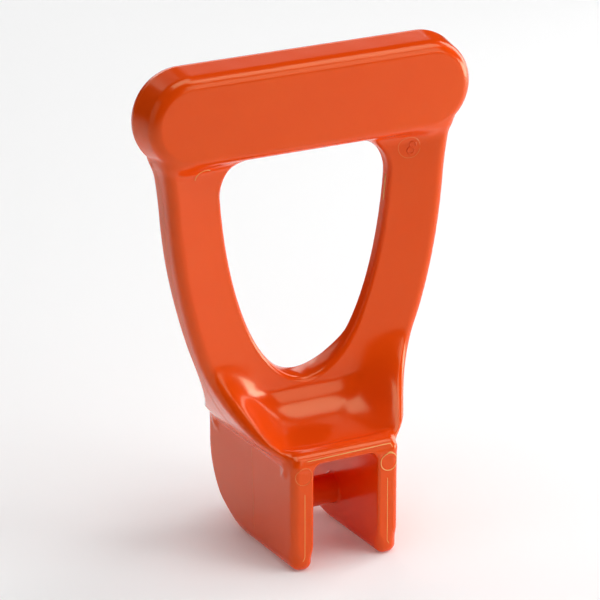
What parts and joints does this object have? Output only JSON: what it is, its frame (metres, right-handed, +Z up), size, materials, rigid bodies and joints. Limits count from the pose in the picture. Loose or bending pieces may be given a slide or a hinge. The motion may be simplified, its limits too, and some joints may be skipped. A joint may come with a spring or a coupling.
{
  "type": "d-grip handle",
  "caption": "One-piece moulded plastic D-grip pull handle: a rounded hand bar on a tapering loop, with a forked foot that carries a cross-pin for a hook, strap or cord",
  "frame": {"origin": "centre of the cross-pin", "axes": "+X along the grip bar and the cross-pin, +Y from the flat front face to the rounded back, +Z up from the fork to the grip"},
  "size_m": [0.14, 0.0736, 0.1965],
  "materials": {
    "orange_plastic": "gloss"
  },
  "bodies": {
    "root": {"grip_bar": "orange_plastic", "left_arm": "orange_plastic", "right_arm": "orange_plastic", "saddle": "orange_plastic", "left_prong": "orange_plastic", "right_prong": "orange_plastic", "cross_pin": "orange_plastic"}
  },
  "joints": []
}
